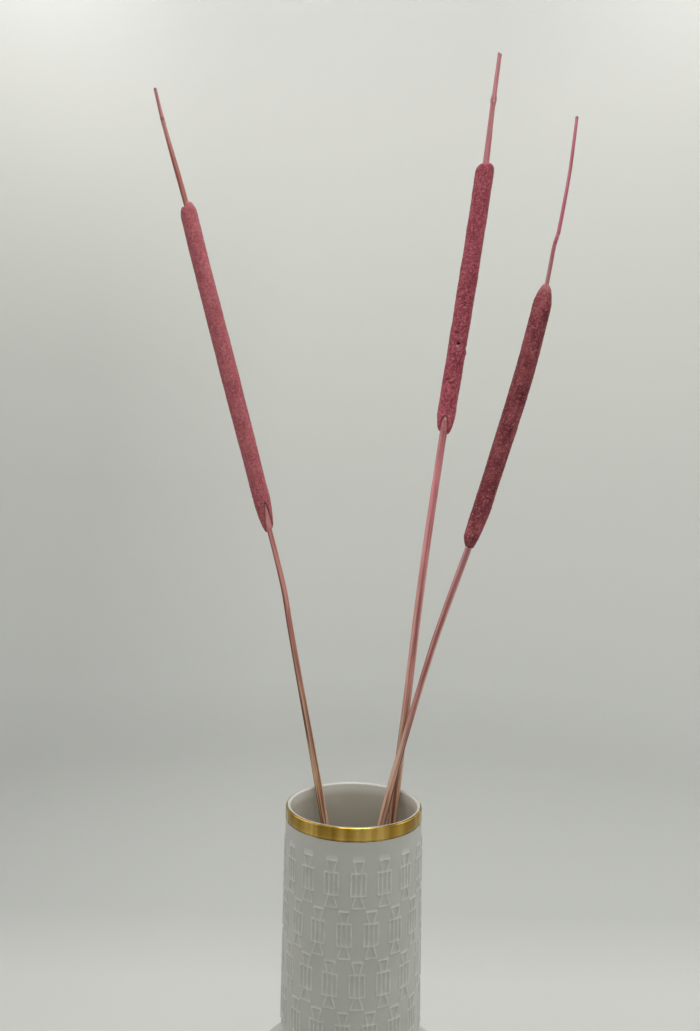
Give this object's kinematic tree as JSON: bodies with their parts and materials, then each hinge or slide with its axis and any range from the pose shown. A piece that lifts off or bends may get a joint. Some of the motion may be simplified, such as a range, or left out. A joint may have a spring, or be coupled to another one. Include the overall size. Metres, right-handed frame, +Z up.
{
  "type": "cattail stems in a vase",
  "caption": "Dried cattails with velvety flower spikes and bare tips, leaning loose in a cylinder-necked porcelain vase with a gilded rim.",
  "frame": {"origin": "centre of the vase's flat foot, on the surface it stands on", "axes": "+Z up along the vase's axis, -Y towards the front, +X to the right seen from the front"},
  "size_m": [0.2816, 0.1794, 0.6822],
  "materials": {
    "porcelain": "smooth glossy white glaze",
    "gilding": "polished fired-on gold band round the rim",
    "culm": "satin dried stalk, dyed dusty pink, tan lower down",
    "spike": "dense matte velvet of dyed rose-red down",
    "spike_dark": "dense matte velvet of dyed brownish purple down with pale specks"
  },
  "bodies": {
    "root": {"vase": "porcelain", "stem_left": "culm", "head_left": "spike", "stem_middle": "culm", "head_middle": "spike", "stem_right": "culm", "head_right": "spike_dark"}
  },
  "joints": []
}
